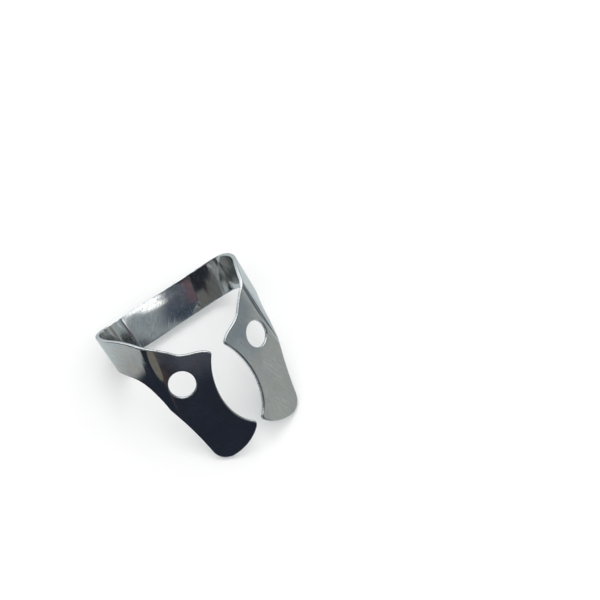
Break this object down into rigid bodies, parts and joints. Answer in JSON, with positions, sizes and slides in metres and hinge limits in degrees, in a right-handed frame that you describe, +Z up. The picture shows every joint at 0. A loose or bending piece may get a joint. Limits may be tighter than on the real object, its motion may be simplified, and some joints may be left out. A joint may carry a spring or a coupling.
{
  "type": "rubber dam clamp",
  "caption": "Wingless rubber dam clamp folded from one strip of polished spring steel, with a flat bow, turned-in jaws, forceps holes and concave gripping edges.",
  "frame": {"origin": "middle of the box that the clamp fills, at the level of the surface that it lies on", "axes": "+X along the bow, across the clamp's plane of symmetry; -Y towards the free ends of the jaws; +Z up as the clamp lies, upside down on the bow's front edge and the free ends of its jaws"},
  "size_m": [0.0208, 0.0236, 0.0108],
  "materials": {
    "spring_steel": "polished, with fine hairline scratches"
  },
  "bodies": {
    "root": {"clamp": "spring_steel"}
  },
  "joints": []
}
